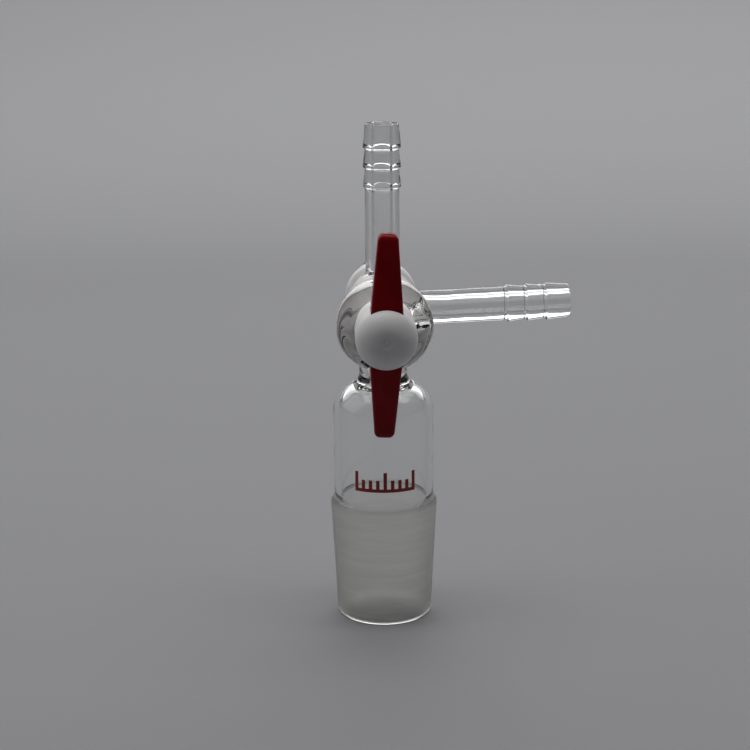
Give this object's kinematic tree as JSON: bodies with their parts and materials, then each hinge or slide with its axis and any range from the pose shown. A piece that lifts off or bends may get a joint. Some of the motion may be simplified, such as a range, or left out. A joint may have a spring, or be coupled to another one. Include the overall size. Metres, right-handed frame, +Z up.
{
  "type": "glass stopcock",
  "caption": "Three-way glass stopcock adapter with a ground cone joint below, a turning white plug with a red bar handle, and barbed hose arms on top and at the side.",
  "frame": {"origin": "centre of the ground cone's bottom rim, on the plane the part stands on", "axes": "+Z up along the cone, tube and top hose arm; +X towards the side hose arm; -Y towards the handle, along the plug's axis"},
  "size_m": [0.065, 0.0673, 0.1364],
  "materials": {
    "glass": "clear borosilicate, ground and frosted on the cone",
    "white_plug": "waxy white fluoropolymer",
    "red_plastic": "smooth moulded dark red",
    "black_rubber": "matte"
  },
  "bodies": {
    "glass": {"glass_body": "glass"},
    "plug": {"plug": "white_plug", "handle": "red_plastic", "washer": "white_plug", "o_ring": "black_rubber"},
    "nut": {"nut": "red_plastic"}
  },
  "joints": [
    {"name": "plug_turn", "type": "hinge", "parent": "glass", "child": "plug", "pos_m": [0, 0, 0.08611], "axis": [0, 1, 0], "continuous": true},
    {"name": "nut_turn", "type": "hinge", "parent": "plug", "child": "nut", "pos_m": [0, 0.021, 0.08611], "axis": [0, 1, 0], "continuous": true}
  ]
}
